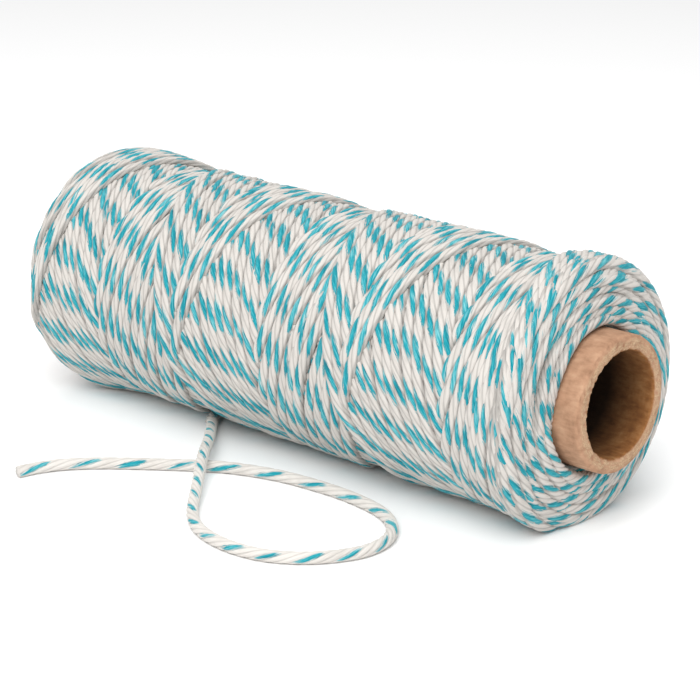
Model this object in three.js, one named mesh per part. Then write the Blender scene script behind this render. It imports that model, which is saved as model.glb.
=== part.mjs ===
// Spool of twisted cotton twine: a kraft tube, the cross-wound body of twine on it, and its loose end.
// Millimetres, +Z up. The tube lies along X and the spool rests on the plane z = 0.

import * as THREE from "three";
import { mergeVertices } from "three/addons/utils/BufferGeometryUtils.js";

// Twine
const TWINE_DIAMETER = 1.9;
const LAY = 14.4;
const PLIES = 6;
const FIT_GAP = 0.3;

// Tube
const TUBE_LENGTH = 115.8;
const TUBE_OUTER_RADIUS = 10.6;
const TUBE_WALL = 2.4;
const TUBE_EDGE_RADIUS = 0.5;

// Winding
const OVERHANG = 5.2;
const WINDING_RADIUS = 20;
const RIM_RADIUS = 2.2;
const FACE_BULGE = 0.5;
const NEAR_FLARE = 0.3;
const FAR_FLARE = 0.9;
const FLARE_LENGTH = 10;
const FLAT_SPOT_DEPTH = 0.15;

// Cross winding: one family of strands leans one way, the other leans back over it
const TRAVEL_PER_TURN = 37.1;
const RIDGES_PER_TURN = 7;
const RIDGE_HEIGHT = 0.22;
const LAYER_STEP = 0.5;
const CROSSING_X = 20.1;
const CROSSING_ANGLE = 104;
const CROSSING_FADE = 0.1;
const PLAIN_BASE_ANGLE = 28;
const RELIEF_ANGLE = 48;

// Mesh steps
const SEGMENTS_AROUND = 48;
const STEPS_ALONG = 84;
const STEPS_PER_LAY = 15;

// Loose end: its centre line, from under the spool, over itself, round the loop and out to its tip
const LOOSE_END_ROUTE = [
  [-18.9, -9.9, 0.97],
  [-17.3, -11.5, 1.1],
  [-13.5, -15.5, 1.75],
  [-9.3, -20.0, 2.5],
  [-4.3, -25.9, 3.17],
  [-0.9, -29.8, 2.95],
  [1.8, -32.9, 2.4],
  [4.3, -35.9, 1.7],
  [7.6, -39.6, 1.12],
  [11.8, -42.9, 0.97],
  [16.8, -44.8, 0.97],
  [22.5, -45.2, 0.97],
  [27.7, -44.0, 0.97],
  [32.4, -40.8, 0.97],
  [35.9, -36.0, 0.97],
  [37.1, -32.0, 0.97],
  [36.4, -27.4, 0.97],
  [33.4, -23.2, 0.97],
  [29.2, -20.6, 0.97],
  [22.5, -19.2, 0.97],
  [14.9, -19.1, 0.97],
  [6.3, -20.3, 0.97],
  [-1.7, -23.3, 0.97],
  [-7.7, -27.4, 0.97],
  [-12.9, -31.5, 0.97],
  [-16.5, -34.5, 0.97],
  [-19.6, -37.6, 0.97],
  [-22.0, -40.7, 0.97],
  [-23.6, -44.1, 0.97],
  [-24.4, -47.2, 0.97],
];

const WINDING_NEAR = TUBE_LENGTH / 2 - OVERHANG;
const WINDING_FAR = -TUBE_LENGTH / 2 + OVERHANG;
const BORE_RADIUS = TUBE_OUTER_RADIUS + FIT_GAP;
const AXIS_HEIGHT = WINDING_RADIUS - FLAT_SPOT_DEPTH;

const cotton = new THREE.MeshStandardMaterial({ color: "#e9e5df", roughness: 0.92, metalness: 0 });
const kraftBoard = new THREE.MeshStandardMaterial({ color: "#bb9174", roughness: 0.88, metalness: 0 });

const wrap = (turns) => turns - Math.floor(turns);

// A quarter-circle corner between two directions of a profile, as points [radius, x].
function corner(centreRadius, centreX, radius, fromAngle, steps) {
  const points = [];
  for (let i = 0; i <= steps; i += 1) {
    const angle = fromAngle + (i / steps) * (Math.PI / 2);
    points.push([centreRadius + radius * Math.cos(angle), centreX + radius * Math.sin(angle)]);
  }
  return points;
}

// A closed profile [radius, x] spun about the X axis, with its shared vertices merged.
function spin(profile) {
  const closed = [...profile, profile[0]].map(([radius, x]) => new THREE.Vector2(radius, x));
  const geometry = new THREE.LatheGeometry(closed, SEGMENTS_AROUND);
  geometry.rotateZ(-Math.PI / 2);
  geometry.deleteAttribute("normal");
  geometry.deleteAttribute("uv");
  return mergeVertices(geometry);
}

function tubeGeometry() {
  const outer = TUBE_OUTER_RADIUS - TUBE_EDGE_RADIUS;
  const inner = TUBE_OUTER_RADIUS - TUBE_WALL;
  const end = TUBE_LENGTH / 2;
  const edge = end - TUBE_EDGE_RADIUS;
  const profile = [
    [inner, -end],
    ...corner(outer, -edge, TUBE_EDGE_RADIUS, -Math.PI / 2, 2),
    ...corner(outer, edge, TUBE_EDGE_RADIUS, 0, 2),
    [inner, end],
  ];
  return spin(profile);
}

// How far the winding's outer face stands off its mean radius at x and at an angle from the top.
function relief(x, degrees) {
  const crossing = CROSSING_ANGLE / 360 + CROSSING_X / TRAVEL_PER_TURN;
  const crossingBack = CROSSING_ANGLE / 360 - CROSSING_X / TRAVEL_PER_TURN;
  const lean = degrees / 360 + x / TRAVEL_PER_TURN;
  const leanBack = degrees / 360 - x / TRAVEL_PER_TURN;
  const age = wrap(crossing - lean);
  const ageBack = wrap(crossingBack - leanBack);
  const upper = age < ageBack ? lean : leanBack;
  const plain = Math.min(1, Math.abs(age - ageBack) / CROSSING_FADE);
  const ridge = RIDGE_HEIGHT * plain * Math.cos(2 * Math.PI * RIDGES_PER_TURN * upper);
  return ridge + LAYER_STEP * (1 - age - ageBack);
}

// The thicker turns where the strands reverse at each end.
function flare(x) {
  const near = THREE.MathUtils.smoothstep(x, WINDING_NEAR - FLARE_LENGTH, WINDING_NEAR);
  const far = 1 - THREE.MathUtils.smoothstep(x, WINDING_FAR, WINDING_FAR + FLARE_LENGTH);
  return NEAR_FLARE * near + FAR_FLARE * far;
}

function windingGeometry() {
  const shoulder = WINDING_RADIUS - RIM_RADIUS;
  const near = WINDING_NEAR - RIM_RADIUS;
  const far = WINDING_FAR + RIM_RADIUS;
  const middle = (BORE_RADIUS + shoulder) / 2;
  const profile = [
    [BORE_RADIUS, WINDING_FAR],
    [middle, WINDING_FAR - FACE_BULGE],
    ...corner(shoulder, far, RIM_RADIUS, -Math.PI / 2, 3),
  ];
  for (let i = 1; i < STEPS_ALONG; i += 1) {
    profile.push([WINDING_RADIUS, far + ((near - far) * i) / STEPS_ALONG]);
  }
  profile.push(
    ...corner(shoulder, near, RIM_RADIUS, 0, 3),
    [middle, WINDING_NEAR + FACE_BULGE],
    [BORE_RADIUS, WINDING_NEAR],
  );
  const geometry = spin(profile);
  const position = geometry.attributes.position;
  for (let i = 0; i < position.count; i += 1) {
    const x = position.getX(i);
    const y = position.getY(i);
    const z = position.getZ(i);
    const radius = Math.hypot(y, z);
    const degrees = THREE.MathUtils.radToDeg(Math.atan2(-y, z));
    const fromBase = 180 - Math.abs(degrees);
    const raised = THREE.MathUtils.smoothstep(fromBase, PLAIN_BASE_ANGLE, RELIEF_ANGLE);
    const outside = THREE.MathUtils.smoothstep(radius, BORE_RADIUS, WINDING_RADIUS);
    const scale = 1 + (outside * (flare(x) + raised * relief(x, degrees))) / radius;
    position.setXYZ(i, x, y * scale, Math.max(z * scale, -AXIS_HEIGHT));
  }
  return geometry;
}

// A cord of twisted plies along a route: each ply is a ridge that winds to the left round the centre line.
function cordGeometry(route) {
  const curve = new THREE.CatmullRomCurve3(route.map((point) => new THREE.Vector3(...point)), false, "centripetal");
  const length = curve.getLength();
  const steps = Math.round((length / LAY) * STEPS_PER_LAY);
  const frames = curve.computeFrenetFrames(steps, false);
  const sides = 2 * PLIES;
  const crest = TWINE_DIAMETER / 2;
  const groove = crest * 0.84;
  const vertices = [];
  const indices = [];
  for (let step = 0; step <= steps; step += 1) {
    const centre = curve.getPointAt(step / steps);
    const twist = (-2 * Math.PI * length * step) / (steps * LAY);
    for (let side = 0; side < sides; side += 1) {
      const angle = twist + (2 * Math.PI * side) / sides;
      const radius = side % 2 === 0 ? crest : groove;
      const point = centre.clone();
      point.addScaledVector(frames.normals[step], radius * Math.cos(angle));
      point.addScaledVector(frames.binormals[step], radius * Math.sin(angle));
      vertices.push(point.x, point.y, point.z);
    }
  }
  for (let step = 0; step < steps; step += 1) {
    for (let side = 0; side < sides; side += 1) {
      const a = step * sides + side;
      const b = step * sides + ((side + 1) % sides);
      indices.push(a, b, b + sides, a, b + sides, a + sides);
    }
  }
  const last = steps * sides;
  for (let side = 1; side < sides - 1; side += 1) {
    indices.push(0, side + 1, side, last, last + side, last + side + 1);
  }
  const geometry = new THREE.BufferGeometry();
  geometry.setAttribute("position", new THREE.Float32BufferAttribute(vertices, 3));
  geometry.setIndex(indices);
  return geometry;
}

function piece(name, geometry, material, height) {
  geometry.computeVertexNormals();
  const mesh = new THREE.Mesh(geometry, material);
  mesh.name = name;
  mesh.position.z = height;
  return mesh;
}

const spool = new THREE.Group();
spool.add(piece("tube", tubeGeometry(), kraftBoard, AXIS_HEIGHT));
spool.add(piece("winding", windingGeometry(), cotton, AXIS_HEIGHT));
spool.add(piece("loose_end", cordGeometry(LOOSE_END_ROUTE), cotton, 0));

export default spool;
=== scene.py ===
"""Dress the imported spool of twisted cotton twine: strands, kraft tube, loose end, floor and light.

Sizes are millimetres in the frame of the CAD model, +Z up, the tube along X, the floor at z = 0.
Angles round the spool are degrees from its top towards the side that faces the camera, -Y.
"""

import logging
import math
from collections.abc import Iterable
from dataclasses import dataclass
from enum import Enum
from functools import partial
from typing import Any

import bmesh
import bpy
import numpy as np
from bmesh.types import BMesh, BMVert
from bpy.types import ID, Material, Node, NodeSocket, NodeTree, Object
from mathutils import Matrix, Vector, noise


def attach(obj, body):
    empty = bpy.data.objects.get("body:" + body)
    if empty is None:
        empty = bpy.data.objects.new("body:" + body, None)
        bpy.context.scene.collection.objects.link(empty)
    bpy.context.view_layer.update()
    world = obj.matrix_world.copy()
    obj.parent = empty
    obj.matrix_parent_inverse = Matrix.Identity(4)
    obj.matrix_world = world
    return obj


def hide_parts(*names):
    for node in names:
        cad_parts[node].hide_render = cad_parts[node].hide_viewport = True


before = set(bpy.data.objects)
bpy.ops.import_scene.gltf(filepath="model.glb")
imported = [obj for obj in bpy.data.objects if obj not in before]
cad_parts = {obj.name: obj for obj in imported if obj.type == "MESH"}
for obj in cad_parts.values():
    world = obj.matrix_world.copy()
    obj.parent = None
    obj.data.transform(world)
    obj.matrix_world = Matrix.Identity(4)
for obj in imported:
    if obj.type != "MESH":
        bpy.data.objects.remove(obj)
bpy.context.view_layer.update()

log = logging.getLogger("twine_spool")

Array = np.ndarray
Pair = tuple[float, float]
Place = tuple[float, float, float]
Shades = tuple[str, str, str]
MM = 0.001
TURN = 360.0
AXIS_HEIGHT = 19.85


class Twist(Enum):
    """The way that the plies wind round the twine."""

    S = -1
    Z = 1


class End(Enum):
    """The two ends of the spool, by the side of the origin that they lie on."""

    NEAR = 1
    FAR = -1


def linear(hex_colour: str) -> tuple[float, float, float, float]:
    """Turn an sRGB hex colour into linear values.

    Args:
        hex_colour: six hex digits, with or without a leading hash.

    Returns:
        Red, green, blue and an alpha of 1.
    """
    digits = hex_colour.lstrip("#")
    channels = [int(digits[i : i + 2], 16) / 255 for i in (0, 2, 4)]
    red, green, blue = (
        c / 12.92 if c <= 0.04045 else ((c + 0.055) / 1.055) ** 2.4 for c in channels
    )
    return red, green, blue, 1.0


def add_node(
    tree: NodeTree,
    kind: str,
    inputs: dict[str | int, Any] | tuple[Any, ...] = (),
    stops: Iterable[tuple[float, str]] = (),
    **settings: Any,
) -> Node:
    """Add a node with its settings, socket values and incoming links.

    Args:
        tree: the node tree that the node goes into.
        kind: the node's Blender type, without "ShaderNode".
        inputs: the values of its first sockets in order, or socket name or number to value. A value
            can be a socket or node that feeds it, and a node does so by its first output in use.
        stops: a colour ramp's positions in rising order, each with its sRGB hex colour.
        settings: properties of the node itself.

    Returns:
        The new node.
    """
    node = tree.nodes.new("ShaderNode" + kind)
    for key, value in settings.items():
        setattr(node, key, value)
    for key, value in inputs.items() if isinstance(inputs, dict) else enumerate(inputs):
        if isinstance(value, Node):
            value = next(output for output in value.outputs if output.enabled)
        if isinstance(value, NodeSocket):
            tree.links.new(value, node.inputs[key])
        else:
            node.inputs[key].default_value = value
    for index, (position, colour) in enumerate(stops):
        ramp = node.color_ramp.elements
        element = ramp[index] if index < len(ramp) else ramp.new(position)
        element.position, element.color = position, linear(colour)
    return node


def new_material(name: str) -> tuple[Material, NodeTree]:
    """Make an empty node material.

    Args:
        name: its name.

    Returns:
        The material and its node tree.
    """
    material = bpy.data.materials.new(name)
    material.use_nodes = True
    material.node_tree.nodes.clear()
    return material, material.node_tree


def smoothstep(values: Array, low: float, high: float) -> Array:
    """Ease from 0 at low to 1 at high."""
    t = np.clip((values - low) / (high - low), 0.0, 1.0)
    return t * t * (3 - 2 * t)


def length_along(line: Array) -> Array:
    """Give how far along a polyline, n by 3, each of its points lies."""
    return np.append(0.0, np.cumsum(np.linalg.norm(np.diff(line, axis=0), axis=1)))


def resample(line: Array, step: float) -> Array:
    """Space a polyline's points evenly.

    Args:
        line: the points, n by 3.
        step: the spacing that is wanted; the real one divides the length evenly.

    Returns:
        The new points, with both ends kept.
    """
    along = length_along(line)
    count = max(2, round(along[-1] / step) + 1)
    wanted = np.linspace(0.0, along[-1], count)
    return np.stack([np.interp(wanted, along, line[:, k]) for k in range(3)], -1)


def hermite(t: Array, start: Array, out: Array, end: Array, into: Array) -> Array:
    """Draw a cubic from start to end, by its tangents there, at each t of a column from 0 to 1."""
    return (
        (2 * t**3 - 3 * t**2 + 1) * start
        + (t**3 - 2 * t**2 + t) * out
        + (3 * t**2 - 2 * t**3) * end
        + (t**3 - t**2) * into
    )


def spin(profile: list[Pair], axis_height: float, steps: int) -> BMesh:
    """Spin a closed profile once round the tube's axis.

    Args:
        profile: its corners, each a place along the tube and a radius.
        axis_height: the height of the axis above the floor.
        steps: how many flats the turn has.

    Returns:
        The closed surface, in millimetres.
    """
    body = bmesh.new()
    corners = [body.verts.new((x, 0, axis_height + r)) for x, r in profile]
    edges = [body.edges.new(pair) for pair in zip(corners, corners[1:] + corners[:1])]
    bmesh.ops.spin(
        body,
        geom=corners + edges,
        cent=(0, 0, axis_height),
        axis=(1, 0, 0),
        angle=2 * math.pi,
        steps=steps,
        use_merge=True,
    )
    bmesh.ops.remove_doubles(body, verts=body.verts, dist=1e-4)
    return body


def add_object(name: str, data: ID) -> Object:
    """Add an object with this data to the scene."""
    made = bpy.data.objects.new(name, data)
    bpy.context.scene.collection.objects.link(made)
    return made


def object_from_bmesh(name: str, mesh: BMesh, material: Material) -> Object:
    """Turn a bmesh in millimetres into a smooth object at the origin.

    Args:
        name: the object's name.
        mesh: the bmesh, which is freed.
        material: its only material.

    Returns:
        The linked object.
    """
    bmesh.ops.scale(mesh, vec=(MM, MM, MM), verts=mesh.verts)
    bmesh.ops.recalc_face_normals(mesh, faces=mesh.faces)
    data = bpy.data.meshes.new(name)
    mesh.to_mesh(data)
    mesh.free()
    data.materials.append(material)
    data.polygons.foreach_set("use_smooth", [True] * len(data.polygons))
    log.info("%s: %d faces", name, len(data.polygons))
    return add_object(name, data)


@dataclass(frozen=True)
class CottonTwine:
    """Unglazed cotton twine: matt, with fine fibres along each ply, two plies of six dyed teal.

    Attributes:
        valley_shade: how dark the painted shade is where it dips between neighbours, 1 for none.
        dyed_width: how wide a dyed mark is at its widest, in plies.
        ragged: how far fibres push the edge of a mark about, in turns round the plies.
        crease_shade: how dark the painted shade in the crease between two plies is, 1 for none.
        undyed: its shaded, common and light colours, as for teal.
    """

    name: str = "wound_cotton_twine"
    valley_shade: float = 0.72
    plies: int = 6
    dyed_plies: int = 2
    dyed_width: float = 1.62
    uneven: float = 0.6
    ragged: float = 0.26
    crease_shade: float = 0.7
    undyed: Shades = ("#b3aea8", "#c8c3bd", "#cfcac4")
    teal: Shades = ("#07606f", "#1b94a1", "#86c5c8")
    roughness: float = 0.92
    sheen: float = 0.12
    relief: float = 0.25

    def build(self) -> Material:
        """Build the material from the strand's own maps.

        In "plies", U runs round the plies and V along them, 10 mm to the unit. In "front", U is the
        turn from the side that faces out and V the cosine of the turn at which a dyed ply dips in.

        Returns:
            The material.
        """
        material, tree = new_material(self.name)
        node = partial(add_node, tree)
        place = node("UVMap", uv_map="plies")
        # Fibres are about 0.1 mm across, drawn 0.2 mm wide so that they show; slubs are 11 mm long
        fine = node("Mapping", {"Vector": place, "Scale": (26.0, 4.5, 1.0)})
        fibres = node("TexNoise", {"Vector": fine, "Scale": 1.0, "Detail": 3.0, "Roughness": 0.6})
        coarse = node("Mapping", {"Vector": place, "Scale": (1.5, 0.9, 1.0)})
        slubs = node("TexNoise", {"Vector": coarse, "Scale": 1.0, "Detail": 2.0})
        mixed = node("Mix", {0: 0.4, 2: fibres, 3: slubs}, data_type="FLOAT")
        undyed = node("ValToRGB", (mixed,), zip((0.3, 0.5, 0.7), self.undyed))
        teal = node("ValToRGB", (mixed,), zip((0.3, 0.5, 0.7), self.teal))
        edge = node("Math", (fibres, self.ragged, -self.ragged / 2), operation="MULTIPLY_ADD")
        place_round = node("SeparateXYZ", (place,)).outputs["X"]
        across = node("Math", (place_round, edge), operation="ADD")
        middle = self.dyed_plies / self.plies / 2
        # How far each point lies from the middle of the nearest dyed ply, and of any ply
        folded = []
        pairs = (across, self.dyed_plies, middle), (place_round, self.plies, 0.5)
        for turn, count, centre in pairs:
            times = node("Math", (turn, float(count)), operation="MULTIPLY")
            part = node("Math", (times,), operation="FRACT")
            off = node("Math", (part, centre), operation="SUBTRACT")
            folded.append(node("Math", (off,), operation="ABSOLUTE"))
        beside, crease = folded
        front = node("SeparateXYZ", (node("UVMap", uv_map="front"),))
        turn = node("Math", (front.outputs["X"], 2 * math.pi), operation="MULTIPLY")
        facing = node("Math", (node("Math", (turn,), operation="COSINE"),), operation="ABSOLUTE")
        uneven = node("Math", (slubs, self.uneven, -self.uneven / 2), operation="MULTIPLY_ADD")
        seen = node("Math", (facing, uneven), operation="ADD")
        # A mark narrows as a square root towards the two places where its ply dips in
        room = node("MapRange", (seen, front.outputs["Y"], 1.0))
        lens = node("Math", (room, 0.5), operation="POWER")
        patches = node("TexNoise", {"Vector": place, "Scale": 1.1, "Detail": 0.0})
        thin, thick = (share * middle * self.dyed_width for share in (0.75, 1.4))
        wide = node("MapRange", (patches, 0.3, 0.7, thin, thick))
        reach = node("Math", (lens, wide), operation="MULTIPLY")
        margin = node("Math", (reach, beside), operation="SUBTRACT")
        dyed = node("MapRange", (margin, -0.01, 0.11))
        colour = node("Mix", {0: dyed, 6: undyed, 7: teal}, data_type="RGBA")
        # Painted shade: a thin line in each crease between plies, a wider one between strands
        shade = node("MapRange", (crease, 0.3, 0.5, 1.0, self.crease_shade))
        valley_shade = node("MapRange", (facing, 0.62, 0.8, self.valley_shade, 1.0))
        dark = node("Math", (shade, valley_shade), operation="MULTIPLY")
        shaded = node("Mix", {0: 1.0, 6: colour, 7: dark}, data_type="RGBA", blend_type="MULTIPLY")
        bump = node("Bump", {"Strength": self.relief, "Distance": 0.15 * MM, "Height": fibres})
        matt = {"Roughness": self.roughness, "Sheen Weight": self.sheen, "Sheen Roughness": 0.5}
        surface = {"Base Color": shaded, "Specular IOR Level": 0.2, "Normal": bump, **matt}
        node("OutputMaterial", (node("BsdfPrincipled", surface),))
        return material


@dataclass(frozen=True)
class KraftBoard:
    """Spiral-wound kraft paperboard: matt brown, mottled by wood fibres, rough where it is cut.

    Attributes:
        wall: the outside's dark, common and light colours, as for the hollow and the cut.
        layer: the thickness of one layer of paper.
        painted_shade_depth: how far into the bore a painted shade gets darker.
        deepest_shade: how much of its colour the bore keeps past that, in painted shade.
    """

    name: str = "kraft_paperboard"
    wall: Shades = ("#987359", "#b0886c", "#c19b7e")
    hollow: Shades = ("#623a1a", "#8b5c32", "#a77b4e")
    cut: Shades = ("#8b6f51", "#b29373", "#cfb594")
    layer: float = 0.42
    painted_shade_depth: float = 8.5
    deepest_shade: float = 0.07
    roughness: float = 0.88

    def build(self, tube: "KraftTube") -> Material:
        """Build the material from Object coordinates, with the tube's own radii and length.

        Args:
            tube: the tube that it covers.

        Returns:
            The material.
        """
        material, tree = new_material(self.name)
        node = partial(add_node, tree)
        place = node("TexCoord").outputs["Object"]
        # Blotches are about 2.4 mm apart, and fibres 2 mm long and 0.6 mm wide
        mottle = node(
            "TexNoise", {"Vector": place, "Scale": 420.0, "Detail": 4.0, "Roughness": 0.62}
        )
        fibre_place = node("Mapping", {"Vector": place, "Scale": (500.0, 1600.0, 1600.0)})
        fibres = node("TexNoise", {"Vector": fibre_place, "Scale": 1.0, "Detail": 3.0})
        mixed = node("Mix", {0: 0.35, 2: mottle, 3: fibres}, data_type="FLOAT")
        wall = node("ValToRGB", (mixed,), zip((0.32, 0.5, 0.68), self.wall))
        hollow = node("ValToRGB", (mixed,), zip((0.3, 0.5, 0.7), self.hollow))
        parts = node("SeparateXYZ", (place,))
        height = node("Math", (parts.outputs["Z"], tube.axis_height * MM), operation="SUBTRACT")
        section = node("CombineXYZ", (parts.outputs["Y"], height))
        radius = node("VectorMath", (section,), operation="LENGTH")
        bore, end = tube.inner_radius, tube.length / 2
        is_inside = node("MapRange", (radius, (bore + 0.1) * MM, (bore + 0.45) * MM, 1.0, 0.0))
        # On the cut, fibre ends torn about 0.3 mm apart break up the layers
        torn = node("TexNoise", {"Vector": place, "Scale": 3200.0, "Detail": 3.0, "Roughness": 0.7})
        layers = node("Math", (radius, 1.0 / (self.layer * MM)), operation="MULTIPLY")
        broken = node("Math", (torn, 3.2, layers), operation="MULTIPLY_ADD")
        line = node("Math", (broken,), operation="FRACT")
        cut = node("ValToRGB", (line,), zip((0.0, 0.25, 0.9), self.cut))
        along = node("Math", (parts.outputs["X"],), operation="ABSOLUTE")
        is_cut = node("MapRange", (along, (end - 0.32) * MM, (end - 0.12) * MM))
        # Painted shade: the bore darkens from near each cut to its deepest shade further in
        shade_from = (end - self.painted_shade_depth) * MM
        depth = node("MapRange", (along, shade_from, (end - 0.5) * MM, self.deepest_shade, 1.0))
        deep = node("Mix", {0: 1.0, 6: hollow, 7: depth}, data_type="RGBA", blend_type="MULTIPLY")
        body = node("Mix", {0: is_inside, 6: wall, 7: deep}, data_type="RGBA")
        face = node("Mix", {0: 0.2, 6: cut, 7: wall}, data_type="RGBA")
        colour = node("Mix", {0: is_cut, 6: body, 7: face}, data_type="RGBA")
        smooth = node("Mix", {0: 0.5, 2: mottle, 3: fibres}, data_type="FLOAT")
        relief = node("Mix", {0: is_cut, 2: smooth, 3: torn}, data_type="FLOAT")
        bump = node("Bump", {"Strength": 0.55, "Distance": 0.25 * MM, "Height": relief})
        matt = {"Roughness": self.roughness, "Specular IOR Level": 0.3}
        surface = {"Base Color": colour, "Normal": bump, **matt}
        node("OutputMaterial", (node("BsdfPrincipled", surface),))
        return material


@dataclass(frozen=True)
class PaleFloor:
    """A seamless sheet of matt white paper."""

    name: str = "white_paper"
    colour: str = "#fdfdfd"
    roughness: float = 0.8

    def build(self) -> Material:
        """Build the plain floor material.

        Returns:
            The material.
        """
        material, tree = new_material(self.name)
        matt = {"Roughness": self.roughness, "Specular IOR Level": 0.0}
        shader = add_node(tree, "BsdfPrincipled", {"Base Color": linear(self.colour), **matt})
        add_node(tree, "OutputMaterial", (shader,))
        return material


@dataclass
class Run:
    """One unbroken length of twine.

    Attributes:
        centre: its centre line, n by 3.
        up: the direction that its half height is measured in, n by 3.
        angle: the turn of its plies about the centre line, in radians.
        along: the distance along it.
        half_width: half its width across up.
        half_height: half its height along up.
        mark_reach: how many degrees from up a dyed ply dips under its neighbours.
    """

    centre: Array
    up: Array
    angle: Array
    along: Array
    half_width: Array
    half_height: Array
    mark_reach: float


@dataclass
class Twine:
    """The twine itself: six plies, laid to the left, with a dyed one at each side.

    Attributes:
        crease: the radius at the crease between two plies, where a ply's crest is 1.
        floor_gap: the least height that a strand is kept above the floor.
        map_length: how far along the twine one unit of its map goes.
    """

    diameter: float = 1.9
    plies: int = 6
    dyed_plies: int = 2
    twist: Twist = Twist.S
    crease: float = 0.8
    floor_gap: float = 0.02
    map_length: float = 10.0

    def profile(self, steps_per_ply: int) -> tuple[Array, Array]:
        """Give the section of the twine.

        Args:
            steps_per_ply: how many points each ply has.

        Returns:
            The angle of each point in radians and its radius, where a ply's crest is 1.
        """
        count = self.plies * steps_per_ply
        turn = np.arange(count) / count
        across = 2 * np.mod(turn * self.plies, 1.0) - 1
        round_top = np.sqrt(np.clip(1 - across**2, 0, 1))
        return 2 * math.pi * turn, self.crease + (1 - self.crease) * round_top

    def mesh(
        self,
        name: str,
        runs: list[Run],
        material: Material,
        steps_per_ply: int,
    ) -> Object:
        """Join runs of twine into one object of closed tubes.

        Args:
            name: the object's name.
            runs: the lengths of twine.
            material: the twine's material.
            steps_per_ply: how many points each ply has round the section.

        Returns:
            The linked object.
        """
        angles, radii = self.profile(steps_per_ply)
        sides = len(angles)
        side = np.arange(sides)
        points, walls, caps, plies, cap_plies, fronts, cap_fronts = ([] for _ in range(7))
        offset = 0
        for run in runs:
            count = len(run.centre)
            ahead = np.gradient(run.centre, axis=0)
            ahead /= np.linalg.norm(ahead, axis=1, keepdims=True)
            up = run.up - ahead * (run.up * ahead).sum(1, keepdims=True)
            up /= np.linalg.norm(up, axis=1, keepdims=True)
            across = np.cross(ahead, up)
            turn = run.angle[:, None] + angles[None, :]
            high = (run.half_height[:, None] * radii * np.cos(turn))[..., None]
            wide = (run.half_width[:, None] * radii * np.sin(turn))[..., None]
            ring = run.centre[:, None, :] + high * up[:, None, :] + wide * across[:, None, :]
            ring[..., 2] = np.maximum(ring[..., 2], self.floor_gap)
            points.append(ring.reshape(-1, 3))
            start = offset + np.arange(count - 1)[:, None] * sides
            a, b = start + side, start + (side + 1) % sides
            walls.append(np.stack([a, b, b + sides, a + sides], -1).reshape(-1, 4))
            caps += [offset + side[::-1], offset + (count - 1) * sides + side]
            u0, u1 = (np.tile(edge / sides, (count - 1, 1)) for edge in (side, side + 1))
            level = run.along / self.map_length
            v0, v1 = (np.repeat(v[:, None], sides, 1) for v in (level[:-1], level[1:]))
            plies.append(np.stack([u0, v0, u1, v0, u1, v1, u0, v1], -1).reshape(-1, 2))
            for v, order in ((level[0], side[::-1]), (level[-1], side)):
                cap_plies.append(np.stack([(order + 0.5) / sides, np.full(sides, v)], -1))
            shows = math.cos(math.radians(run.mark_reach))
            t0, t1 = (u0 + t[:, None] / (2 * math.pi) for t in (run.angle[:-1], run.angle[1:]))
            v = np.full_like(t0, shows)
            faced = [t0, v, t0 + 1 / sides, v, t1 + 1 / sides, v, t1, v]
            fronts.append(np.stack(faced, -1).reshape(-1, 2))
            # A cut end counts as a quarter turn from the outside, so it shows no teal
            cap_fronts.append(np.full((2 * sides, 2), (0.25, shows)))
            offset += count * sides
        quads, cap = np.concatenate(walls), np.stack(caps)
        loops = np.concatenate([quads.ravel(), cap.ravel()])
        first_cap = 4 * len(quads)
        starts = np.append(np.arange(len(quads)) * 4, first_cap + np.arange(len(cap)) * sides)
        data = bpy.data.meshes.new(name)
        data.vertices.add(offset)
        data.vertices.foreach_set("co", (np.concatenate(points) * MM).ravel())
        data.loops.add(len(loops))
        data.loops.foreach_set("vertex_index", loops.astype(np.int32))
        data.polygons.add(len(starts))
        data.polygons.foreach_set("loop_start", starts.astype(np.int32))
        data.update(calc_edges=True)
        for title, corners in (("plies", plies + cap_plies), ("front", fronts + cap_fronts)):
            layer = data.uv_layers.new(name=title)
            layer.uv.foreach_set("vector", np.concatenate(corners).ravel())
        data.polygons.foreach_set("use_smooth", [True] * len(starts))
        data.materials.append(material)
        return add_object(name, data)


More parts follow.
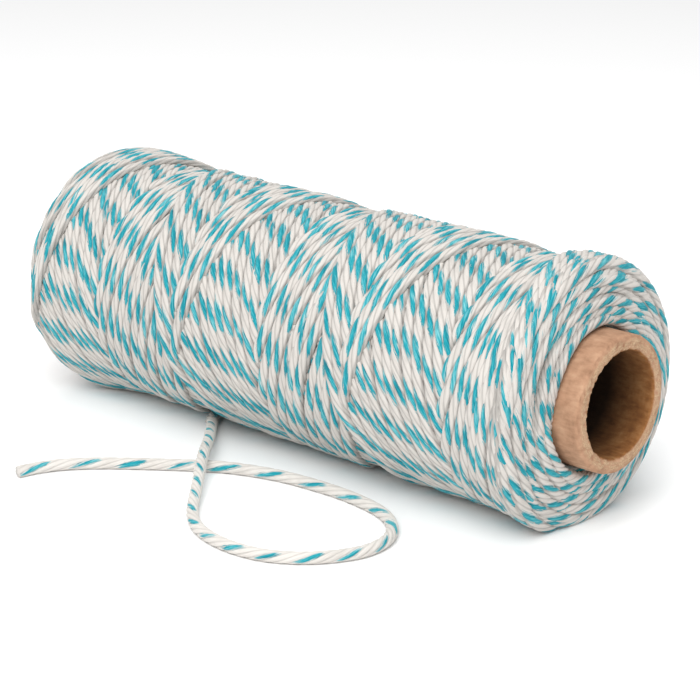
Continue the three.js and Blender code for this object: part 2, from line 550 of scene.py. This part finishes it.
@dataclass
class LooseEnd:
    """The free end: out from under the spool, round one loop under itself, to a bare cut.

    Attributes:
        step: the spacing of its rings.
        first_mark: how far along it a dyed ply faces the camera.
        lying: the height of its centre line where it lies on the floor.
        front: the side of it that the photograph shows.
        route: points on its centre line, with a height where it doesn't lie down.
        lay: distances along it, each with the length of one turn of the plies there.
    """

    step: float = 0.36
    steps_per_ply: int = 6
    first_mark: float = 23.3
    mark_reach: float = 52.0
    lying: float = 0.97
    front: Place = (0.652, -0.697, 0.3)
    route: tuple[tuple[float, ...], ...] = (
        (-18.9, -9.9), (-17.3, -11.5, 1.1), (-13.5, -15.5, 1.75), (-9.3, -20.0, 2.5),
        (-4.3, -25.9, 3.17), (-0.9, -29.8, 2.95), (1.8, -32.9, 2.4), (4.3, -35.9, 1.7),
        (7.6, -39.6, 1.12), (11.8, -42.9), (16.8, -44.8), (22.5, -45.2), (27.7, -44.0),
        (32.4, -40.8), (35.9, -36.0), (37.1, -32.0), (36.4, -27.4), (33.4, -23.2), (29.2, -20.6),
        (22.5, -19.2), (14.9, -19.1), (6.3, -20.3), (-1.7, -23.3), (-7.7, -27.4), (-12.9, -31.5),
        (-16.5, -34.5), (-19.6, -37.6), (-22.0, -40.7), (-23.6, -44.1), (-24.4, -47.2),
    )
    lay: tuple[Pair, ...] = (
        (0.0, 9.4), (24.0, 10.0), (33.0, 7.4), (40.0, 9.6), (62.0, 12.1), (76.0, 11.5),
        (90.0, 13.6), (112.0, 16.8), (130.0, 14.6), (150.0, 16.8), (160.0, 16.8),
    )

    def curve(self) -> Array:
        """Follow the route's centripetal spline.

        Returns:
            The centre line at equal steps, n by 3.
        """
        knots = np.array([(*point, self.lying)[:3] for point in self.route])
        knots = np.vstack([2 * knots[0] - knots[1], knots, 2 * knots[-1] - knots[-2]])
        t = (np.arange(40) / 40)[:, None]
        points = []
        for p0, p1, p2, p3 in zip(knots, knots[1:], knots[2:], knots[3:]):
            pairs = (p0, p1), (p1, p2), (p2, p3)
            d0, d1, d2 = (math.sqrt(np.linalg.norm(b - a)) for a, b in pairs)
            out = ((p1 - p0) / d0 - (p2 - p0) / (d0 + d1) + (p2 - p1) / d1) * d1
            into = ((p2 - p1) / d1 - (p3 - p1) / (d1 + d2) + (p3 - p2) / d2) * d1
            points.append(hermite(t, p1, out, p2, into))
        return resample(np.vstack([*points, knots[-2]]), self.step)

    def run(self, twine: Twine) -> Run:
        """Twist the loose end, more slackly towards its cut.

        Args:
            twine: the twine.

        Returns:
            The loose end as one run.
        """
        centre = self.curve()
        along = length_along(centre)
        distances, lays = np.array(self.lay).T
        per_mm = 2 * math.pi / np.interp(along, distances, lays)
        turned = np.append(0.0, np.cumsum((per_mm[1:] + per_mm[:-1]) / 2 * np.diff(along)))
        dyed_middle = math.pi / twine.plies
        turned -= np.interp(self.first_mark, along, turned)
        up = np.tile(self.front, (len(centre), 1))
        half = np.full(len(centre), twine.diameter / 2)
        angle = twine.twist.value * turned - dyed_middle
        return Run(centre, up, angle, along, half, half, self.mark_reach)

    def build(self, twine: Twine, material: Material) -> Object:
        """Args:
            twine: the twine.
            material: its material.

        Returns:
            The cord's object.
        """
        run = self.run(twine)
        made = twine.mesh("loose_twine", [run], material, self.steps_per_ply)
        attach(made, "root")
        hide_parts("loose_end")
        return made


@dataclass
class CrossWinding:
    """The body of twine: one strand that travels to and fro along the tube as it turns.

    Each double stroke falls short of a whole number of turns by a small angle, so the next one
    lies beside it, and the strands of the two directions cross on rings that stay in one place.

    Attributes:
        near_ramp: how many turns the strand takes to turn back there, as for the far end.
        layer: how much one cover of the face adds, and inner_layer below soft_covers.
        shown_covers: how many covers are kept, where they aren't buried by hidden_depth.
        laid_at_once: how many turns are laid before the face is measured again.
        sink: how far below the mean radius a strand may lie, and climb how far above.
        row_slope: the slant of the rows in which teal marks nearly line up, at row_radius.
    """

    twine: Twine
    axis_height: float = AXIS_HEIGHT
    tube_radius: float = 10.9
    travel_per_turn: float = 37.7
    middle: float = -1.0
    middle_reach: float = 44.0
    near_turn: float = 57.55
    far_turn: float = -54.57
    near_ramp: float = 0.61
    far_ramp: float = 0.08
    far_crowding: float = 2.7
    far_crowded: Pair = (36.0, 54.0)
    leaves_at: float = -23.66
    face_radius: float = 19.9
    layer: float = 1.45
    inner_layer: float = 1.6
    soft_covers: float = 1.3
    shown_covers: float = 1.15
    core_covers: float = 0.5
    hidden_depth: float = 1.0
    laid_at_once: float = 0.9
    mean_radius: float = 18.5
    lay: float = 14.4
    sample: float = 0.25
    ring_step: float = 1.0
    steps_per_ply: int = 3
    longest_run: int = 1200
    carry_on: float = 3.0
    half_width: float = 0.97
    pressed_width: float = 1.16
    half_height: float = 0.8
    face_narrowing: float = 0.12
    sink: float = 0.6
    climb: float = 0.4
    mark_reach: float = 57.0
    near_bulge: float = 1.0
    wander: float = 0.12
    overrun: float = 0.45
    near_flare: float = 0.45
    near_flared: Pair = (40.0, 50.0)
    far_flare: float = 1.2
    far_flared: Pair = (38.0, 50.0)
    rim: float = 1.4
    near_rim: float = 50.6
    far_rim: float = -50.5
    near_shown: float = 48.5
    far_shown: float = -47.8
    seed: int = 7
    grid_reach: float = 62.0
    grid_pitch: float = 0.25
    grid_turn: int = 480
    row_slope: float = 0.4
    row_radius: float = 19.2
    most_triangles: int = 165000

    @property
    def stroke_turns(self) -> float:
        """How many turns the spool makes in one stroke."""
        return (self.near_turn - self.far_turn) / self.travel_per_turn

    @property
    def cover_turns(self) -> float:
        """How many turns cover the face once with strands side by side."""
        double = 2 * self.stroke_turns
        return double / (math.ceil(double) - double)

    def traverse(self, tau: Array) -> Array:
        """Give the strand's place along the tube.

        Args:
            tau: how many turns before it leaves the spool.

        Returns:
            The place in millimetres.
        """
        span = self.near_turn - self.far_turn
        went = np.mod(self.travel_per_turn * tau - (self.leaves_at - self.far_turn), 2 * span)
        x = np.where(went < span, self.far_turn + went, self.far_turn + 2 * span - went)
        near = np.abs(went - span)
        far = np.minimum(went, 2 * span - went)
        half_near = self.travel_per_turn * self.near_ramp / 2
        half_far = self.travel_per_turn * self.far_ramp / 2
        near_x = self.near_turn - half_near / 2 - near**2 / (2 * half_near)
        far_x = self.far_turn + half_far / 2 + far**2 / (2 * half_far)
        x = np.where(far < half_far, far_x, np.where(near < half_near, near_x, x))
        return x + self.far_crowding * smoothstep(-x, *self.far_crowded)

    def stray(self, tau: Array, x: Array) -> Array:
        """Give how far the strand strays along the tube, more so where it turns back.

        Args:
            tau: how many turns before it leaves the spool.
            x: its place along the tube.

        Returns:
            The distance that it is off by.
        """
        rng = np.random.default_rng(self.seed)
        drift = np.zeros_like(tau)
        for period in (0.31, 0.47, 0.83, 1.37, 2.9):
            drift += self.wander * np.sin(2 * math.pi * (tau / period + rng.random()))
        reach = rng.normal(0.0, self.overrun, 4096)
        index = tau / self.stroke_turns
        low = np.floor(index).astype(int)
        mix = smoothstep(index - low, 0.0, 1.0)
        overrun = reach[low % len(reach)] * (1 - mix) + reach[(low + 1) % len(reach)] * mix
        at_end = smoothstep(np.abs(x - self.middle), 42.0, 54.0)
        return drift * (1 - 0.4 * at_end) + overrun * at_end

    def nominal(self, tau: Array) -> Array:
        """Give the mean radius of the strand's centre line.

        Args:
            tau: how many turns before it leaves the spool.

        Returns:
            The radius, down to the innermost turns that lie on the tube.
        """
        covers = tau / self.cover_turns
        deep = np.maximum(covers - self.soft_covers, 0)
        outer = self.face_radius - self.half_height + 0.5 * self.layer - self.layer * covers
        radius = outer - self.inner_layer * deep + self.layer * deep
        return np.maximum(radius, self.tube_radius + self.half_height)

    def swell(self, x: Array) -> Array:
        """Give how far the face stands out at the ends: the flares, less the round rims.

        Args:
            x: the place along the tube.

        Returns:
            The height above the face's middle.
        """
        near, far = smoothstep(x, *self.near_flared), smoothstep(-x, *self.far_flared)
        past = np.maximum(x - self.near_rim, self.far_rim - x)
        drop = self.rim - np.sqrt(self.rim**2 - np.clip(past, 0, self.rim - 0.02) ** 2)
        return self.near_flare * near + self.far_flare * far - drop

    def strands(self) -> tuple[Array, ...]:
        """Wind the spool: lay the strand down turn by turn on what lies there already.

        Returns:
            The centre line from the oldest turn to the newest: turns before it leaves, place
            along the tube, angle in degrees, radius, and how deep it ends up buried.
        """
        height = self.nominal(np.zeros(1))[0] - self.tube_radius - self.half_height
        inner_covers = (height - self.layer * self.soft_covers) / self.inner_layer
        total = (self.soft_covers + inner_covers + self.core_covers) * self.cover_turns
        per_turn = math.hypot(2 * math.pi * self.mean_radius, self.travel_per_turn)
        tau = np.arange(0.0, total, self.sample / per_turn)[::-1]
        x = self.traverse(tau)
        x = x + self.stray(tau, x)
        degrees = 180.0 + TURN * tau
        mean = self.nominal(tau)
        depth = np.clip((self.face_radius - mean) / (self.face_radius - self.tube_radius), 0, 1)
        x = x + self.near_bulge * smoothstep(depth, 0.1, 0.9) * smoothstep(x, 42.0, 50.0)
        columns = int(2 * self.grid_reach / self.grid_pitch) + 1
        face = np.full((columns, self.grid_turn), self.tube_radius)
        dx = np.gradient(x)
        dphi = np.radians(np.gradient(degrees)) * mean
        norm = np.hypot(dx, dphi)
        side_x, side_phi = -dphi / norm, dx / norm
        # Ten points across the strand feel what it lies on
        reach = np.linspace(-0.9, 0.9, 10) * self.half_width
        crown = self.half_height * np.sqrt(1 - (reach / self.pressed_width) ** 2)
        ix = np.rint((x[:, None] + reach * side_x[:, None] + self.grid_reach) / self.grid_pitch)
        ix = np.clip(ix.astype(int), 0, columns - 1)
        turn = degrees[:, None] + np.degrees(reach * side_phi[:, None] / mean[:, None])
        iphi = np.rint(turn / TURN * self.grid_turn).astype(int) % self.grid_turn
        chunk = int(self.laid_at_once * per_turn / self.sample)
        # The strand is stiff enough to even out what lies within 3 mm, 12 samples
        margin, stiff = 14, 12
        kernel = np.exp(-0.5 * (np.arange(-stiff, stiff + 1) / 5.0) ** 2)
        kernel /= kernel.sum()
        mean = mean + self.swell(x) * (1 - depth)
        centre = mean.copy()
        bias, middle = 0.0, np.abs(x - self.middle) < self.middle_reach
        downward = np.maximum(-np.cos(np.radians(degrees)), 0.2)
        floor_limit = (self.axis_height - self.half_height) / downward
        for start in range(0, len(tau), chunk):
            stop = min(start + chunk, len(tau))
            first, last = max(0, start - margin), min(len(tau), stop + margin)
            under = face[ix[start:last], iphi[start:last]]
            hard = (under + crown).max(1)
            soft = under.mean(1) + 0.75 * self.half_height
            raw = 0.5 * hard + 0.5 * soft
            # What the middle stands too high by is taken off, so the face stays true
            inside = middle[start:last]
            if inside.any():
                found = float((raw - mean[start:last])[inside].mean())
                bias = found if start == 0 else bias + 0.15 * (found - bias)
            local = 0.85 * (raw - mean[start:last] - bias)
            wished = mean[start:last] + np.clip(local, -self.sink, self.climb)
            joined = np.concatenate([centre[first:start], wished])
            smooth = np.convolve(np.pad(joined, stiff, mode="edge"), kernel, mode="valid")
            done = smooth[start - first : stop - first]
            done = np.minimum(done, floor_limit[start:stop])
            centre[start:stop] = done
            top = done[:, None] + crown
            np.maximum.at(face, (ix[start:stop], iphi[start:stop]), top)
        buried = (face[ix, iphi] - (centre[:, None] + crown)).min(1)
        return tau, x, degrees, centre, buried

    def angles(self, tau: Array) -> Array:
        """Give the turn of the plies, so that the teal marks of neighbours nearly line up.

        Args:
            tau: how many turns before it leaves the spool, falling.

        Returns:
            The turn in radians.
        """
        rng = np.random.default_rng(self.seed + 1)
        lean = math.atan2(self.travel_per_turn, 2 * math.pi * self.row_radius)
        per_turn = math.hypot(self.travel_per_turn, 2 * math.pi * self.row_radius)
        rolled = 2 * math.pi * tau * per_turn / self.lay
        first = (self.leaves_at - self.far_turn) / self.travel_per_turn
        strokes = int(tau.max() / self.stroke_turns) + 3
        middles = first + (np.arange(strokes) - 0.5) * self.stroke_turns
        double = math.ceil(2 * self.stroke_turns) * TURN
        # Each stroke's marks lie off the row by a drift and a scatter, in radians
        loose = np.cumsum(rng.normal(0.0, 0.35, strokes)) * 0.6 + rng.normal(0.0, 0.25, strokes)
        offsets = np.empty(strokes)
        repeat = 2 * math.pi / self.twine.dyed_plies
        middle_x = (self.near_turn + self.far_turn) / 2
        for k, middle in enumerate(middles):
            sign = 1 if k % 2 == 0 else -1
            pitch = self.lay * (math.cos(lean) + sign * self.row_slope * math.sin(lean))
            around = math.radians(180 + TURN * middle - (k // 2) * double) * self.row_radius
            wanted = 2 * math.pi * (around - self.row_slope * middle_x) / pitch + loose[k]
            offsets[k] = wanted - 2 * math.pi * middle * per_turn / self.lay
        for k in range(1, strokes):
            jump = offsets[k] - offsets[k - 1]
            offsets[k] = offsets[k - 1] + (jump + repeat / 2) % repeat - repeat / 2
        place = (tau - middles[0]) / self.stroke_turns
        low = np.clip(np.floor(place).astype(int), 0, strokes - 2)
        mix = smoothstep(place - low, 0.36, 0.64)
        return rolled + offsets[low] * (1 - mix) + offsets[low + 1] * mix

    def tail(self, start: Array, ahead: Array, loose: LooseEnd) -> Array:
        """Lead the last turn from under the spool to the loose end's first point.

        Args:
            start: the last point of the last turn.
            ahead: its direction.
            loose: the loose end.

        Returns:
            The points between the two.
        """
        line = loose.curve()
        end, into = line[0], line[1] - line[0]
        into = into / np.linalg.norm(into)
        reach = np.linalg.norm(end - start)
        t = np.linspace(0, 1, 16)[1:-1, None]
        return hermite(t, start, ahead * reach, end, into * reach)

    def build(self, material: Material, loose: LooseEnd) -> list[Object]:
        """Wind the spool and make its strands.

        Args:
            material: the twine's material.
            loose: the loose end that the last turn runs into.

        Returns:
            The strands' objects.
        """
        tau, x, degrees, radius, buried = self.strands()
        turn = self.angles(tau)
        shown = (tau < self.shown_covers * self.cover_turns) & (buried < self.hidden_depth)
        shown |= (x > self.near_shown) | (x < self.far_shown)
        spread = int(self.carry_on / self.sample)
        shown = np.convolve(shown, np.ones(2 * spread + 1), mode="same") > 0
        angle = np.radians(degrees)
        sine, cosine = np.sin(angle), np.cos(angle)
        centre = np.stack([x, -radius * sine, self.axis_height + radius * cosine], -1)
        # On an end face the strand's outer side turns from the radius towards the axis
        inward = smoothstep(self.face_radius - radius, 0.9, 3.6)
        near = smoothstep(x, 45.0, 50.0) * np.maximum(smoothstep(x, 48.5, 52.5) * 0.8, inward)
        far = smoothstep(-x, 44.0, 49.0) * np.maximum(smoothstep(-x, 47.0, 51.0) * 0.4, inward)
        rise = np.maximum(1 - near - far, 0.05)
        width = self.pressed_width - self.face_narrowing * (near + far)
        outward = np.stack([near - far, -rise * sine, rise * cosine], -1)
        edges = np.flatnonzero(np.diff(np.pad(shown.astype(int), 1)))
        every = round(self.ring_step / self.sample)
        longest = self.longest_run * every
        runs: list[Run] = []
        for start, stop in zip(edges[::2], edges[1::2]):
            for first in range(start, stop, longest):
                last = min(first + longest, stop - 1)
                if last - first < 4 * every:
                    continue
                pick = np.unique(np.append(np.arange(first, last, every), last))
                points, up, roll, wide = centre[pick], outward[pick], turn[pick], width[pick]
                if last == len(tau) - 1:
                    ahead = points[-1] - points[-2]
                    extra = self.tail(points[-1], ahead / np.linalg.norm(ahead), loose)
                    points = np.vstack([points, extra, loose.curve()[:2]])
                    up = np.vstack([up, np.tile((0.0, 0.0, -1.0), (len(extra) + 2, 1))])
                    steps = np.linalg.norm(np.diff(points[len(roll) - 1 :], axis=0), axis=1)
                    turned = 2 * math.pi * np.cumsum(steps) / self.lay
                    roll = np.concatenate([roll, roll[-1] - turned])
                    wide = np.append(wide, np.full(len(extra) + 2, wide[-1]))
                along = length_along(points) + first * self.sample
                high = np.full(len(points), self.half_height)
                runs.append(Run(points, up, roll, along, wide, high, self.mark_reach))
        sides = len(self.twine.profile(self.steps_per_ply)[0])
        sizes = np.cumsum([2 * sides * len(run.centre) for run in runs])
        parts = math.ceil(sizes[-1] / self.most_triangles)
        share = np.minimum((sizes - 1) * parts // sizes[-1], parts - 1)
        objects = []
        for k in range(parts):
            mine = [run for run, part in zip(runs, share) if part == k]
            made = self.twine.mesh(f"wound_twine_{k + 1}", mine, material, self.steps_per_ply)
            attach(made, "root")
            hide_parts("winding")
            objects.append(made)
        log.info("winding: %d pieces, %d triangles, %d runs", len(objects), sizes[-1], len(runs))
        return objects


@dataclass
class InnerLayers:
    """The older turns of twine that fill the winding behind those that show."""

    axis_height: float = AXIS_HEIGHT
    near: float = 50.3
    near_bore: float = 51.6
    far: float = -50.0
    radius: float = 17.6
    rim: float = 1.6
    bore: float = 10.9

    def build(self, material: Material) -> Object:
        """Spin the plain body.

        Args:
            material: its material.

        Returns:
            The body's object.
        """
        profile = [
            (self.near - self.rim, self.radius),
            (self.near - 0.4, self.radius - 0.5),
            (self.near, self.radius - self.rim),
            (self.near_bore, self.bore),
            (self.far, self.bore),
            (self.far, self.radius - self.rim),
            (self.far + 0.4, self.radius - 0.5),
            (self.far + self.rim, self.radius),
        ]
        body = spin(profile, self.axis_height, steps=96)
        made = object_from_bmesh("inner_layers", body, material)
        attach(made, "root")
        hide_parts("winding")
        return made


@dataclass(frozen=True)
class ShadedCotton:
    """The same twine seen deep between the outer turns, in painted shade: an even cotton."""

    name: str = "painted_shade_cotton"
    colours: tuple[str, str] = ("#8fa3a1", "#b9bdb6")

    def build(self) -> Material:
        """Build the material from Object coordinates.

        Returns:
            The material.
        """
        material, tree = new_material(self.name)
        node = partial(add_node, tree)
        place = node("TexCoord").outputs["Object"]
        # Blotches are about as wide as the twine
        blotch = node("TexNoise", {"Vector": place, "Scale": 600.0, "Detail": 2.0})
        colour = node("ValToRGB", (blotch,), zip((0.4, 0.6), self.colours))
        surface = {"Base Color": colour, "Roughness": 0.95, "Specular IOR Level": 0.1}
        node("OutputMaterial", (node("BsdfPrincipled", surface),))
        return material


@dataclass
class KraftTube:
    """The tube: spiral-wound board with a softly crushed, ragged cut at each end.

    Attributes:
        ragged_length: how far in from a cut the board is ragged.
        torn_wall: how far out from the bore the lip is torn.
    """

    length: float = 115.8
    outer_radius: float = 10.6
    inner_radius: float = 8.2
    edge_radius: float = 1.0
    axis_height: float = AXIS_HEIGHT
    waviness: float = 0.1
    grain: float = 0.04
    ragged_length: float = 1.6
    torn_wall: float = 1.2
    seed: int = 3

    def build(self, material: Material) -> Object:
        """Spin the wall, then roughen it: a faint waviness all over and a torn inner lip.

        Args:
            material: the board.

        Returns:
            The tube's object.
        """
        half = self.length / 2
        sections: list[list[Pair]] = []
        for end in (End.FAR, End.NEAR):
            ring = [
                (
                    end.value * (half - self.edge_radius + self.edge_radius * math.cos(angle)),
                    self.outer_radius - self.edge_radius + self.edge_radius * math.sin(angle),
                )
                for angle in (step / 6 * math.pi / 2 for step in range(7))
            ]
            flat = [(end.value * half, self.inner_radius + 0.35 + k * 0.21) for k in range(5)]
            lip = [
                (end.value * (half - 1.2), self.inner_radius),
                (end.value * (half - 0.45), self.inner_radius + 0.03),
                (end.value * (half - 0.12), self.inner_radius + 0.14),
            ]
            sections.append(lip + flat + ring)
        far, near = sections
        outer = [(x, self.outer_radius) for x in np.linspace(far[-1][0], near[-1][0], 25)[1:-1]]
        inner = [(x, self.inner_radius) for x in np.linspace(near[0][0], far[0][0], 25)[1:-1]]
        tube = spin(far + outer + near[::-1] + inner, self.axis_height, steps=144)
        for vertex in tube.verts:
            self.roughen(vertex)
        made = object_from_bmesh("kraft_tube", tube, material)
        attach(made, "root")
        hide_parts("tube")
        return made

    def roughen(self, vertex: BMVert) -> None:
        """Move one vertex of the smooth tube to where the real board's surface is.

        Args:
            vertex: the vertex, in millimetres.
        """
        place = vertex.co - Vector((0, 0, self.axis_height))
        radius = math.hypot(place.y, place.z)
        out = Vector((0, place.y / radius, place.z / radius))
        wave = noise.noise(Vector((place.x * 0.05 + self.seed, out.y * 1.4, out.z * 1.4)))
        fine = noise.noise(Vector((place.x * 0.7, place.y * 0.9, place.z * 0.9)))
        end = max(0.0, 1 - (self.length / 2 - abs(place.x)) / self.ragged_length)
        inner = max(0.0, 1 - abs(radius - self.inner_radius) / self.torn_wall)
        rag = noise.noise(Vector((place.x * 0.2 + 9, place.y * 1.9, place.z * 1.9)))
        torn = noise.noise(Vector((4.0, place.y * 0.75, place.z * 0.75)))
        shift = self.waviness * wave + self.grain * fine + end * inner * (0.3 * rag + 0.32 * torn)
        vertex.co += out * shift
        if radius < self.outer_radius - 0.2:
            back = end * (0.1 + 0.45 * abs(rag) + 0.1 * inner * abs(torn))
            vertex.co.x -= math.copysign(back, place.x)


@dataclass
class Studio:
    """The camera, the floor and soft white light."""

    target: Place = (-0.339, 0.0, 20.0)
    azimuth: float = 43.0792
    elevation: float = 17.4728
    distance: float = 369.62
    yaw: float = -0.43203
    pitch: float = -0.68412
    roll: float = -0.03186
    focal_pixels: float = 2264.01
    picture: int = 700
    sensor: float = 36.0
    room_light: float = 0.68

    def camera(self) -> Object:
        """Place the camera where the photograph was taken from.

        Returns:
            The camera.
        """
        azimuth, elevation = math.radians(self.azimuth), math.radians(self.elevation)
        level = math.cos(elevation)
        back = Vector((math.sin(azimuth) * level, -math.cos(azimuth) * level, math.sin(elevation)))
        right = Vector((math.cos(azimuth), math.sin(azimuth), 0.0))
        up = back.cross(right)
        place, ahead = Vector(self.target) + back * self.distance, -back
        for angle, axis in ((self.yaw, up), (self.pitch, right)):
            turn = Matrix.Rotation(math.radians(angle), 3, axis)
            ahead, right, up = turn @ ahead, turn @ right, turn @ up
        turn = Matrix.Rotation(math.radians(self.roll), 3, ahead)
        right, up = turn @ right, turn @ up
        data = bpy.data.cameras.new("camera")
        data.sensor_width = self.sensor
        data.lens = self.focal_pixels * self.sensor / self.picture
        data.clip_start, data.clip_end = 0.01, 20.0
        made = add_object("camera", data)
        axes = Matrix((right, up, -ahead)).transposed().to_4x4()
        made.matrix_world = Matrix.Translation(place * MM) @ axes
        bpy.context.scene.camera = made
        return made

    def floor(self) -> Object:
        """Lay the floor.

        Returns:
            The floor's object.
        """
        sheet = bmesh.new()
        bmesh.ops.create_grid(sheet, x_segments=1, y_segments=1, size=3000)
        made = object_from_bmesh("floor", sheet, PaleFloor().build())
        return made

    def lamp(self, name: str, place: Place, size: float, watts: float) -> None:
        """Hang one square soft box that faces the origin.

        Args:
            name: its name.
            place: where it hangs.
            size: the length of its side.
            watts: its power.
        """
        data = bpy.data.lights.new(name, "AREA")
        data.size = size * MM
        data.energy = watts
        made = add_object(name, data)
        made.rotation_euler = (-Vector(place)).to_track_quat("-Z", "Y").to_euler()
        made.location = Vector(place) * MM

    def light(self) -> None:
        """Light the set evenly from all round, a little more from above and the camera's side."""
        world = bpy.data.worlds.new("studio")
        world.use_nodes = True
        background = world.node_tree.nodes["Background"]
        background.inputs["Color"].default_value = linear("#ffffff")
        background.inputs["Strength"].default_value = self.room_light
        bpy.context.scene.world = world
        self.lamp("overhead", (-40.0, 0.0, 620.0), 500.0, 1.1)
        self.lamp("front_high", (240.0, -390.0, 460.0), 420.0, 2.9)
        view = bpy.context.scene.view_settings
        view.view_transform = "Standard"
        view.look = "None"


def main() -> None:
    """Build the scene in order and report each piece."""
    logging.basicConfig(level=logging.INFO, format="%(name)s %(message)s")
    studio = Studio()
    studio.camera()
    cotton = CottonTwine().build()
    twine = Twine()
    loose = LooseEnd()
    # Painted light: the loose end's copy is paler, with fainter painted crease shade
    lighter_loose_twine = CottonTwine(
        name="loose_cotton_twine_painted_light",
        valley_shade=1.0,
        dyed_width=1.15,
        crease_shade=0.84,
        undyed=("#c2bdb6", "#d4cfc9", "#dcd8d2"),
    )
    loose.build(twine, lighter_loose_twine.build())
    winding = CrossWinding(twine)
    winding.build(cotton, loose)
    InnerLayers().build(ShadedCotton().build())
    tube = KraftTube()
    tube.build(KraftBoard().build(tube))
    studio.floor()
    studio.light()


if __name__ == "__main__":
    main()
